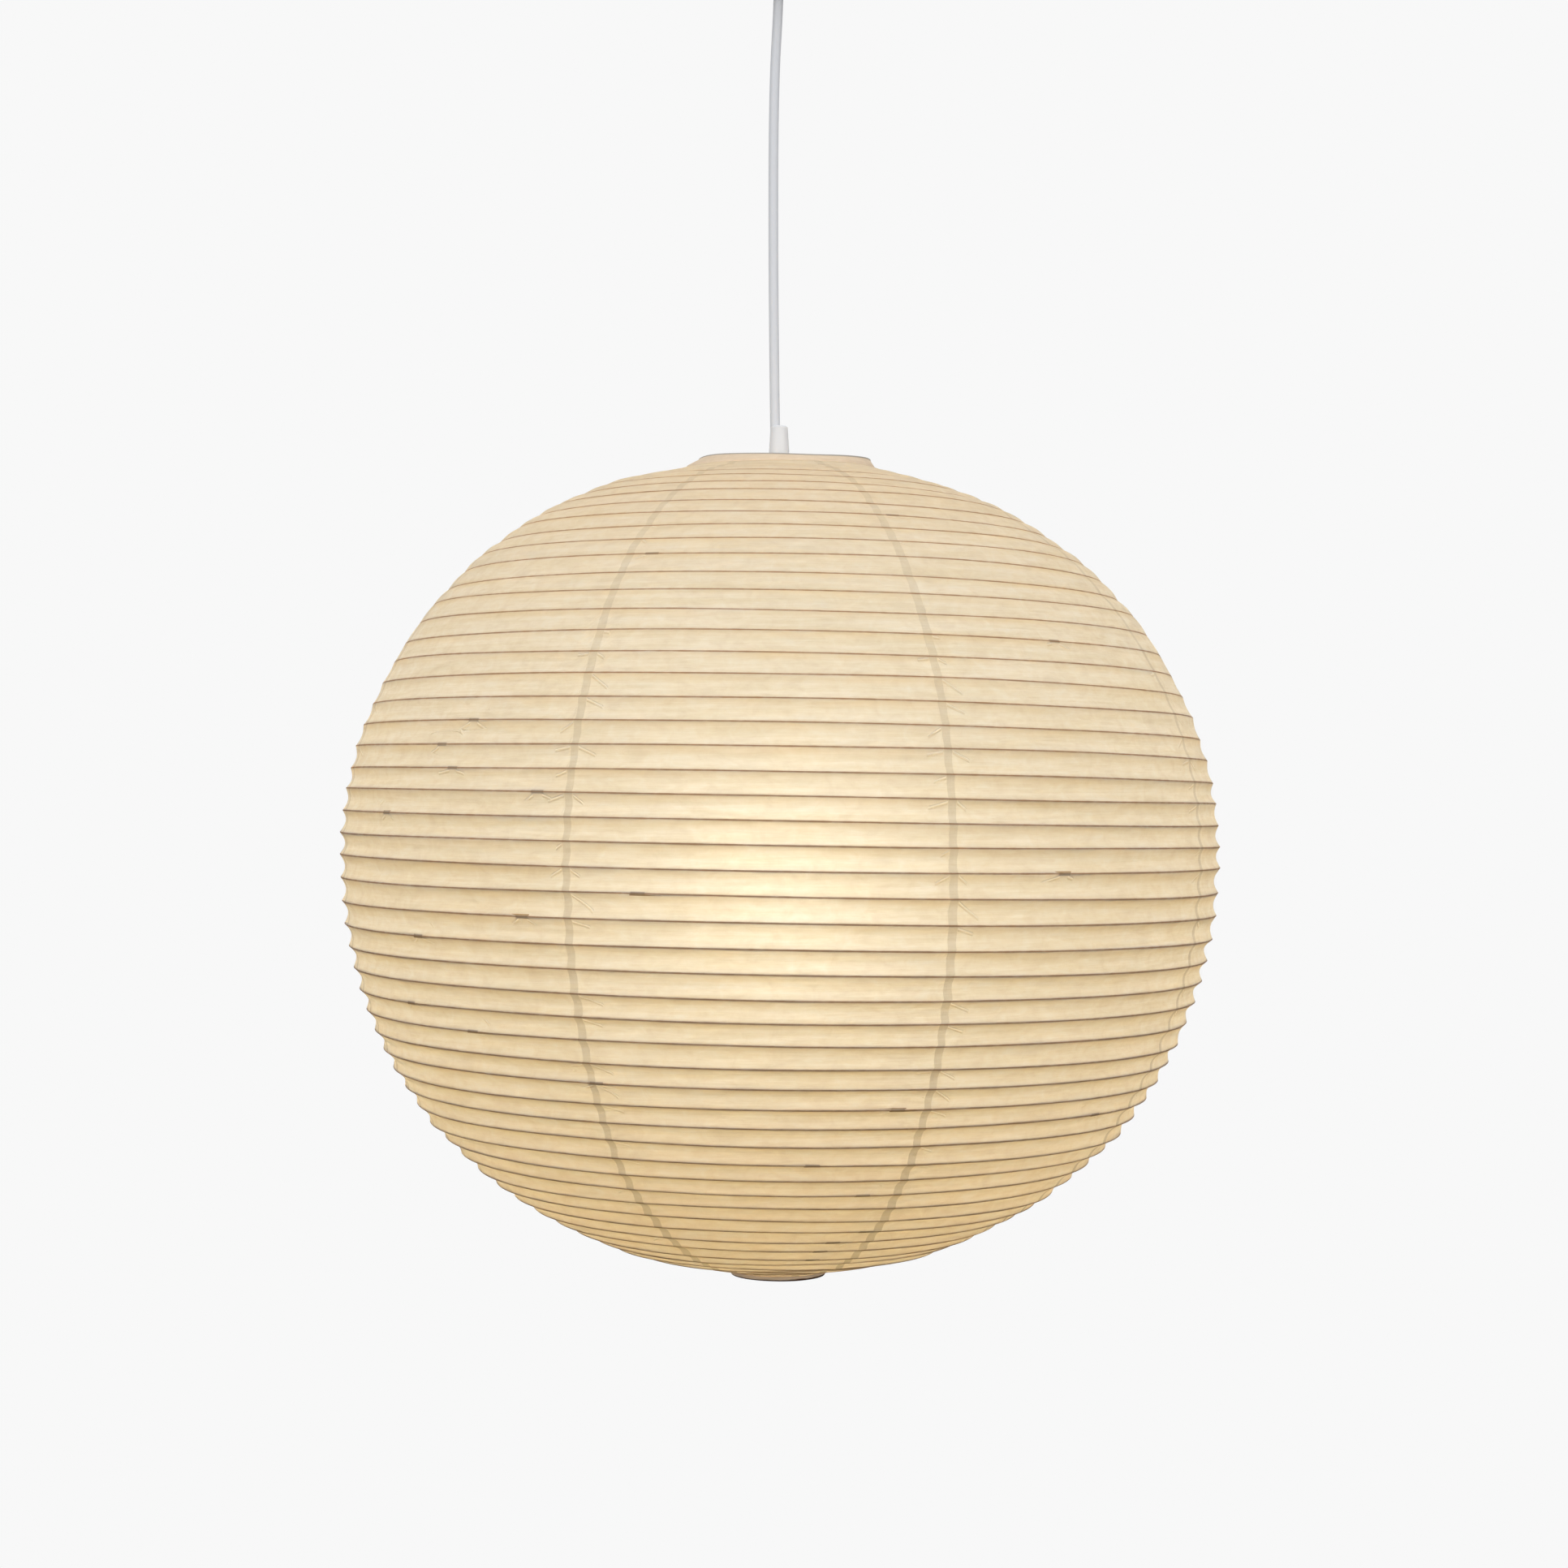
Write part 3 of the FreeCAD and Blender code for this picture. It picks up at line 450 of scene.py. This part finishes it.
dice = random.Random(HOOP_SEED)
WAVES = [[(order, dice.uniform(-1, 1) / order, dice.uniform(-1, 1) / order) for order in (2, 3, 5, 7)]
         for _ in range(BANDS + 1)]
SHIFTS = [dice.uniform(-1, 1) for _ in range(BANDS + 1)]


def smooth_step(low, high, value):
    """0 below low, 1 above high, smooth between."""
    share = np.clip((value - low) / (high - low), 0.0, 1.0)
    return share * share * (3 - 2 * share)


def tilt(index):
    """How much a hoop slopes down towards +X; the collars are level."""
    return 0.0175 * smooth_step(0, 4, index) - 0.0085 * smooth_step(36, 52, index)


def lean(index):
    """How far a hoop's centre lies towards +X: the hung shade bends a little to one side."""
    share = index / BANDS
    return 0.8 * MM * math.cos(math.pi * share) + 2.0 * MM * math.sin(2 * math.pi * share)


def slump(index):
    """Outward and upward shift of a hoop: hung paper is fuller at the shoulder and belly, tighter below."""
    marks, outs, ups = zip(*SLUMP)
    return np.interp(index, marks, outs) * MM, np.interp(index, marks, ups) * MM


def wander(index, angles):
    """Radial and upright offsets of one hoop round the shade: real hoops are never quite round."""
    free = float(smooth_step(0, 3, index) * (1 - smooth_step(BANDS - 3, BANDS, index)))
    radial = sum(a * np.cos(order * angles) + b * np.sin(order * angles) for order, a, b in WAVES[index])
    upright = sum(b * np.cos(order * angles) - a * np.sin(order * angles) for order, a, b in WAVES[index])
    return free * 0.55 * MM * radial, free * MM * (0.7 * upright + 0.55 * SHIFTS[index])


def ridge(index, angles):
    """Points of the paper's ridge over one hoop: radius and height at each angle."""
    radius, height, _, _ = RIDGES[index]
    radial, upright = wander(index, angles)
    out, up = slump(index)
    return (radius + out + radial + lean(index) * np.cos(angles),
            height + up + upright - tilt(index) * radius * np.cos(angles))


def fold_depth(index):
    """How far a band folds in between its hoops: taut and slightly domed at the top, slack below."""
    domed = -1.2 * MM * (1 - smooth_step(9, 17, index))
    slack = 3.1 * MM * smooth_step(12, 27, index) * (1 - 0.45 * smooth_step(36, 53, index))
    return domed + slack


def soft_noise(angles, seed, terms, lowest):
    """A smooth closed random wave round the shade, within about -1 to 1."""
    rng = random.Random(seed)
    total = np.zeros_like(angles)
    for order in range(lowest, lowest + terms):
        total += rng.uniform(-1, 1) * np.cos(order * angles + rng.uniform(0, 2 * math.pi))
    return total / math.sqrt(terms)


def seam_angle(number):
    """The direction of a seam, in radians; the one at the left of the front sits a little further round."""
    return math.radians(GORE_START + number * GORE_ANGLE - (LEFT_SEAM_BACK if number == LEFT_SEAM else 0))


def lap_angles():
    """The direction of each hoop's lap joint, in radians: where it shows, or anywhere at the back."""
    rng = random.Random(LAP_SEED)
    return {hoop: math.radians(LAPS_SEEN[hoop] - 90 if hoop in LAPS_SEEN else rng.uniform(5, 175))
            for hoop in range(1, BANDS)}


LAPS = lap_angles()


def paper_gore(number):
    """One gore of the shade, from seam to seam, as a folded sheet with its marks' distances."""
    start, end = seam_angle(number), seam_angle(number + 1)
    angles = np.linspace(start, end, COLUMNS + 1)
    seam = np.where(angles - start < end - angles, angles - start, angles - end)
    rows, bands, seams, laps, lap_sides = [], [], [], [], []
    for index in range(BANDS):
        high_r, high_z = ridge(index, angles)
        low_r, low_z = ridge(index + 1, angles)
        normal_r = (RIDGES[index][2] + RIDGES[index + 1][2]) / 2
        normal_z = (RIDGES[index][3] + RIDGES[index + 1][3]) / 2
        uneven = 1 + 0.28 * soft_noise(angles, FOLD_SEED + index, 6, 3)
        stiff = 1 - 0.35 * np.exp(-(np.abs(seam) * high_r / (9 * MM)) ** 2)
        depth = fold_depth(index) * uneven * stiff
        valley = 0.5 + 0.07 * soft_noise(angles, VALLEY_SEED + index, 4, 2)
        for share in ROWS:
            bent = np.where(share < valley, share / valley * 0.5, 0.5 + 0.5 * (share - valley) / (1 - valley))
            sink = depth * np.sin(math.pi * bent)
            radius = high_r * (1 - share) + low_r * share - normal_r * sink
            height = high_z * (1 - share) + low_z * share - normal_z * sink
            rows.append(np.stack([radius * np.cos(angles), radius * np.sin(angles), height], 1))
            bands.append(np.full_like(angles, index + share))
            jitter = 0.9 * math.sin(index * 12.9898 + number * 7.1)
            seams.append(np.abs(seam * radius / MM + jitter * share))
            hoop = min(max(index + (1 if share >= 0.5 else 0), 1), BANDS - 1)
            away = (angles - LAPS[hoop] + math.pi) % (2 * math.pi) - math.pi
            laps.append(np.abs(away * radius / MM))
            lap_sides.append(np.sign(away))
    last_r, last_z = ridge(BANDS, angles)
    rows.append(np.stack([last_r * np.cos(angles), last_r * np.sin(angles), last_z], 1))
    bands.append(np.full_like(angles, BANDS))
    seams.append(np.abs(seam * last_r / MM))
    laps.append(np.full_like(angles, FAR_FROM_LAP))
    lap_sides.append(np.ones_like(angles))
    return grid_object("shade_gore_%d" % (number + 1), np.array(rows), attributes={
        "band": np.array(bands), "seam_mm": np.array(seams), "lap_mm": np.array(laps),
        "seam_side": np.tile(np.sign(seam + 1e-9), (len(rows), 1)), "lap_side": np.array(lap_sides)})


def tube(name, points, radii, sides):
    """A round tube along points, with a radius at each."""
    points = [Vector(point) for point in points]
    last = len(points) - 1
    rings = []
    for index in range(len(points)):
        along = (points[min(index + 1, last)] - points[max(index - 1, 0)]).normalized()
        side = along.cross(Vector((0, 0, 1)))
        side = side.normalized() if side.length > 1e-6 else Vector((1, 0, 0))
        up = side.cross(along).normalized()
        rings.append([points[index] + radii[index] * (math.cos(2 * math.pi * k / sides) * side
                                                      + math.sin(2 * math.pi * k / sides) * up)
                      for k in range(sides)])
    grid = np.array([[list(corner) for corner in ring] for ring in rings])
    return grid_object(name, grid, close_u=True)


def hoop_rod(index):
    """One bamboo hoop, its two ends lapped side by side."""
    start = LAPS[index]
    radius, _, normal_r, normal_z = RIDGES[index]
    steps = 200
    lap = LAP_LENGTH / radius / 2
    angles = np.linspace(start - lap, start + 2 * math.pi + lap, steps + 1)
    ridge_r, ridge_z = ridge(index, angles)
    down = np.linspace(-0.5, 0.5, steps + 1)
    aside = 0.6 * ROD * np.sign(down) * smooth_step(0.480, 0.497, np.abs(down))
    inset = ROD + 0.35 * MM
    middle_r = ridge_r - inset * normal_r
    middle_z = ridge_z - inset * normal_z + aside
    points = [(r * math.cos(a), r * math.sin(a), z) for a, r, z in zip(angles, middle_r, middle_z)]
    radii = [ROD * (0.93 + 0.07 * math.sin(31 * a + index)) for a in angles]
    return tube("hoop_%02d" % index, points, radii, 6)


# ------------------------------------------------------------------------------------- build: shade
PAPER = paper_material()
BAMBOO = simple_material("bamboo", linear(176, 142, 92), 0.5, grain=0.2, grain_scale=400)

for number, cad_name in enumerate(GORES):
    gore = paper_gore(number)
    give(gore, PAPER)
    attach(gore, "shade")
    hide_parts(cad_name)
    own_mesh(gore)

first = 1
for cad_name in HOOP_NODES:
    count = len(loose_rings(cad_name))
    rods = joined("bamboo_" + cad_name, [hoop_rod(index) for index in range(first, first + count)])
    first += count
    give(rods, BAMBOO)
    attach(rods, "shade")
    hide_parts(cad_name)
    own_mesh(rods)


# ------------------------------------------------------------------------------------ build: collars
def swept_ring(name, outline, slope, seed, offset, saddle=0.0, wave=0.25 * MM):
    """A ring from a closed outline of (radius, height); it slopes and is a little out of round.

    saddle lifts the rim's two sides, in full at the rim and not at all at the paper's edge."""
    angles = np.linspace(0, 2 * math.pi, RING_COLUMNS, endpoint=False)
    uneven = wave * soft_noise(angles, seed, 6, 3)
    level = -slope * np.cos(angles)
    rows = []
    for radius, height in outline + outline[:1]:
        risen = min(max((height - PAPER_TOP) / (RIM - PAPER_TOP), 0), 1) if saddle else 0
        raised = saddle * risen * np.cos(angles) ** 2 * (0.75 + 0.25 * np.cos(angles))
        across = offset + RIM_DRIFT * risen
        rows.append(np.stack([(radius + uneven) * np.cos(angles) + across, (radius + uneven) * np.sin(angles),
                              height + level * radius + 0.5 * uneven + raised], 1))
    return grid_object(name, np.array(rows), close_u=True)


def collar_material(name, dark_below=None):
    """The shade's paper pasted over a collar, with its fibres; it is dark below a height if one is given."""
    graph = Graph(name)
    fine = graph.noise(1.0, 5.0, 0.6, graph.stretched(90, 90, 1100), 0.5)
    clouds = graph.noise(1.0, 4.0, 0.6, graph.stretched(85, 85, 130), 0.6)
    body = graph.ramp(clouds, (0.3, (0.68, 0.53, 0.375)), (0.5, (0.72, 0.565, 0.405)),
                      (0.72, (0.75, 0.60, 0.44)))
    body = graph.mix(0.2, body, graph.ramp(fine, (0.35, (0.55, 0.42, 0.27)), (0.65, (0.86, 0.74, 0.57))))
    if dark_below is not None:
        height = graph.add("SeparateXYZ", {0: graph.add("TexCoord").outputs["Object"]}).outputs[2]
        ragged = graph.math("ADD", graph.math("MULTIPLY", height, 1 / MM), graph.noise(90.0, 2.0))
        edge = fade(graph, ragged, dark_below / MM + 0.3, dark_below / MM + 1.0)
        body = graph.mix(edge, body, (0.085, 0.042, 0.026))
    shader = graph.add("BsdfPrincipled", {"Base Color": body, "Roughness": 0.85, "Specular IOR Level": 0.3,
                                          "Normal": graph.bump(fine, 0.3, 0.4 * MM)})
    return graph.finish(shader.outputs[0])


wrap = swept_ring("collar_wrap", [
    (TOP_RADIUS + 0.5 * MM, PAPER_TOP - 0.5 * MM), (TOP_RADIUS + 0.3 * MM, PAPER_TOP + 1.0 * MM),
    (RIM_RADIUS + 1.6 * MM, RIM - 0.6 * MM), (RIM_RADIUS + 0.4 * MM, RIM + RIM_LIFT - 0.3 * MM),
    (RIM_RADIUS - 0.3 * MM, RIM + RIM_LIFT), (RIM_RADIUS - 1.2 * MM, RIM + RIM_LIFT - 0.2 * MM),
    (RIM_RADIUS - 1.4 * MM, RIM - 0.8 * MM), (TOP_RADIUS - 1.5 * MM, PAPER_TOP - 0.2 * MM),
    (TOP_RADIUS - 1.4 * MM, COLLAR_LOW.z), (TOP_RADIUS - 0.4 * MM, COLLAR_LOW.z)],
    RIM_SLOPE, RIM_SEED, lean(0), RIM_SADDLE)
COLLAR_PAPER = collar_material("collar_paper")
give(wrap, COLLAR_PAPER)
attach(wrap, "shade")
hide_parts("top_collar")

tape = swept_ring("rim_tape", [
    (RIM_RADIUS + 0.70 * MM, RIM + RIM_LIFT - 0.6 * MM), (RIM_RADIUS + 0.60 * MM, RIM + RIM_LIFT - 0.1 * MM),
    (RIM_RADIUS + 0.1 * MM, RIM + RIM_LIFT + 0.2 * MM), (RIM_RADIUS - 1.2 * MM, RIM + RIM_LIFT + 0.15 * MM),
    (RIM_RADIUS - 1.6 * MM, RIM + RIM_LIFT - 0.4 * MM), (RIM_RADIUS - 1.0 * MM, RIM + RIM_LIFT - 0.5 * MM),
    (RIM_RADIUS + 0.2 * MM, RIM + RIM_LIFT - 0.4 * MM)], RIM_SLOPE, RIM_SEED, lean(0), RIM_SADDLE)
EDGE_TAPE = simple_material("edge_tape", linear(158, 152, 142), 0.85, grain=0.16, grain_scale=700)
give(tape, EDGE_TAPE)
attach(tape, "shade")
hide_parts("top_edge_tape")

base = swept_ring("base_collar", [
    (BOTTOM_RADIUS - 0.9 * MM, BASE_HIGH.z), (BOTTOM_RADIUS - 0.1 * MM, BASE_HIGH.z),
    (BOTTOM_RADIUS + 0.1 * MM, PAPER_BOTTOM), (BOTTOM_RADIUS - 0.1 * MM, BASE_LOW.z + 0.8 * MM),
    (BOTTOM_RADIUS - 0.5 * MM, BASE_LOW.z + 0.1 * MM), (BOTTOM_RADIUS - 1.1 * MM, BASE_LOW.z),
    (BOTTOM_RADIUS - 1.5 * MM, BASE_LOW.z + 0.6 * MM), (BOTTOM_RADIUS - 1.4 * MM, BASE_HIGH.z)],
    BASE_SLOPE, BASE_SEED, lean(BANDS), wave=0.1 * MM)
BASE_WOOD = collar_material("base_wood", dark_below=BASE_LOW.z + 0.9 * MM)
give(base, BASE_WOOD)
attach(base, "shade_base")
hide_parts("bottom_collar")

# -------------------------------------------------------------------------------------- build: cord
CORD_MATERIAL = simple_material("cord_sheath", linear(212, 214, 218), 0.45, grain=0.01)
# Straight through the swivel, a slight bow towards -X above the grip, straight again inside the lampholder.
route = [(0, 0, CORD_HIGH.z), (-0.05 * MM, 0, -0.044), (-3.4 * MM, 0, -0.10), (-3.8 * MM, 0, -0.20),
         (-2.8 * MM, 0, -0.31), (-1.6 * MM, 0, -0.37), (0, 0, -0.44), (0, 0, CORD_LOW.z)]
curve = bpy.data.curves.new("flex", "CURVE")
curve.dimensions = "3D"
spline = curve.splines.new("NURBS")
spline.points.add(len(route) - 1)
for point, place in zip(spline.points, route):
    point.co = (*place, 1.0)
spline.order_u = 3
spline.use_endpoint_u = True
spline.resolution_u = 24
curve.bevel_depth = CORD_HIGH.x
curve.bevel_resolution = 8
flex = bpy.data.objects.new("flex", curve)
bpy.context.scene.collection.objects.link(flex)
give(flex, CORD_MATERIAL)
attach(flex, "pendant")
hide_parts("pendant_cord")

# ------------------------------------------------------------------------- materials on the CAD nodes
def bulb_material():
    """The opal globe, lit."""
    graph = Graph("opal_glow")
    tint = graph.ramp(graph.noise(60, 2), (0.3, (0.9, 0.88, 0.84)), (0.7, (0.95, 0.93, 0.9)))
    shader = graph.add("BsdfPrincipled", {"Base Color": tint, "Roughness": 0.3, "Emission Color": BULB_LIGHT,
                                          "Emission Strength": BULB_GLOW})
    return graph.finish(shader.outputs[0])


LOOKS = {
    "zinc_steel": simple_material("zinc_steel", linear(178, 178, 174), 0.35, 0.9),
    "canopy_white": simple_material("canopy_white", linear(232, 232, 230), 0.4, grain=0.02, bump=0.1),
    "terminal_plastic": simple_material("terminal_plastic", linear(225, 222, 210), 0.5, grain=0.02),
    "brass": simple_material("brass", linear(200, 160, 90), 0.3, 0.95),
    "core_insulation": simple_material("core_insulation", linear(70, 96, 160), 0.4, grain=0.03),
    "nickel": simple_material("nickel", linear(205, 203, 196), 0.25, 0.95, grain=0.03),
    "swivel_nylon": simple_material("swivel_nylon", linear(228, 226, 218), 0.45, grain=0.02),
    "cord_white": CORD_MATERIAL,
    "grip_white": simple_material("grip_white", linear(220, 221, 223), 0.5, grain=0.015),
    "holder_white": simple_material("holder_white", linear(232, 232, 229), 0.22, grain=0.015),
    "insulator_ceramic": simple_material("insulator_ceramic", linear(232, 229, 220), 0.2, grain=0.03),
    "opal_globe": bulb_material(),
    "bulb_white": simple_material("bulb_white", linear(235, 235, 232), 0.3, grain=0.01),
    "led_board": simple_material("led_board", linear(220, 220, 216), 0.4, 0.3),
    "bulb_cap_metal": simple_material("bulb_cap_metal", linear(190, 190, 188), 0.3, 0.95),
    "bulb_insulator": simple_material("bulb_insulator", linear(26, 26, 30), 0.2),
    "spider_wire": simple_material("spider_wire", linear(170, 170, 166), 0.35, 0.9),
    "collar_paper": COLLAR_PAPER,
    "edge_tape": EDGE_TAPE,
    "shade_paper": PAPER,
    "bamboo": BAMBOO,
    "bottom_wood": BASE_WOOD,
}
for row in frame["record"]["subparts"]:
    give(frame["nodes"][row["node"]], LOOKS[row["material_slot"]])

# ------------------------------------------------------------------------------------ stage and light
def stage_material(name, strength):
    """Pale and even: it glows softly for the camera, and is a plain matt surface for the light."""
    graph = Graph(name)
    tint = graph.ramp(graph.noise(0.4, 2), (0.0, linear(*[STAGE_GREY - 0.1] * 3)),
                      (1.0, linear(*[STAGE_GREY + 0.1] * 3)))
    seen = graph.add("Emission", {"Color": tint, "Strength": 1.0})
    matt = graph.add("BsdfDiffuse", {"Color": (strength, strength, strength, 1.0)})
    ray = graph.add("LightPath").outputs["Is Camera Ray"]
    return graph.finish(graph.add("MixShader", {0: ray, 1: matt.outputs[0], 2: seen.outputs[0]}).outputs[0])


floor_mesh = bpy.data.meshes.new("floor")
corners = [(FLOOR_RADIUS * math.cos(a), FLOOR_RADIUS * math.sin(a), FLOOR_LEVEL)
           for a in np.linspace(0, 2 * math.pi, FLOOR_CORNERS, endpoint=False)]
floor_mesh.from_pydata(corners, [], [list(range(FLOOR_CORNERS))])
floor = bpy.data.objects.new("floor", floor_mesh)
bpy.context.scene.collection.objects.link(floor)
give(floor, stage_material("pale_floor", FLOOR_ALBEDO))

world = bpy.data.worlds.new("studio")
bpy.context.scene.world = world
world.use_nodes = True
tree = world.node_tree
tree.nodes.clear()
world_out = tree.nodes.new("ShaderNodeOutputWorld")
seen = tree.nodes.new("ShaderNodeBackground")
seen.inputs["Color"].default_value = (*linear(*[STAGE_GREY] * 3), 1)
light = tree.nodes.new("ShaderNodeBackground")
coordinates = tree.nodes.new("ShaderNodeTexCoord")
separate = tree.nodes.new("ShaderNodeSeparateXYZ")
tree.links.new(coordinates.outputs["Generated"], separate.inputs[0])
ramp = tree.nodes.new("ShaderNodeMapRange")
ramp.inputs["From Min"].default_value = -0.6
ramp.inputs["From Max"].default_value = 0.5
ramp.inputs["To Min"].default_value = SKY_BELOW
ramp.inputs["To Max"].default_value = SKY_ABOVE
tree.links.new(separate.outputs["Z"], ramp.inputs["Value"])
tree.links.new(ramp.outputs[0], light.inputs["Strength"])
light.inputs["Color"].default_value = SKY_COLOUR
ray = tree.nodes.new("ShaderNodeLightPath")
blend = tree.nodes.new("ShaderNodeMixShader")
tree.links.new(ray.outputs["Is Camera Ray"], blend.inputs[0])
tree.links.new(light.outputs[0], blend.inputs[1])
tree.links.new(seen.outputs[0], blend.inputs[2])
tree.links.new(blend.outputs[0], world_out.inputs["Surface"])


def softbox(name, place, target, size, power):
    """A square area light aimed at a point."""
    data = bpy.data.lights.new(name, "AREA")
    data.size = size
    data.energy = power
    item = bpy.data.objects.new(name, data)
    item.location = place
    item.rotation_euler = (Vector(target) - Vector(place)).to_track_quat("-Z", "Y").to_euler()
    bpy.context.scene.collection.objects.link(item)


shade_middle = (0, 0, (PAPER_TOP + PAPER_BOTTOM) / 2)
softbox("key_softbox", (-1.5, -2.6, 0.2), shade_middle, SOFTBOX_SIZE, KEY_POWER)
softbox("fill_softbox", (1.8, -2.4, 0.0), shade_middle, SOFTBOX_SIZE, FILL_POWER)

# ------------------------------------------------------------------------------------------- camera
camera_data = bpy.data.cameras.new("camera")
camera_data.lens = FOCAL_LENGTH
camera_data.shift_y = CAMERA_SHIFT
camera = bpy.data.objects.new("camera", camera_data)
camera.location = (CAMERA_ASIDE, -CAMERA_DISTANCE, HORIZON)
camera.rotation_euler = (math.radians(90), 0, 0)
bpy.context.scene.collection.objects.link(camera)
bpy.context.scene.camera = camera
bpy.context.scene.view_settings.view_transform = "Standard"
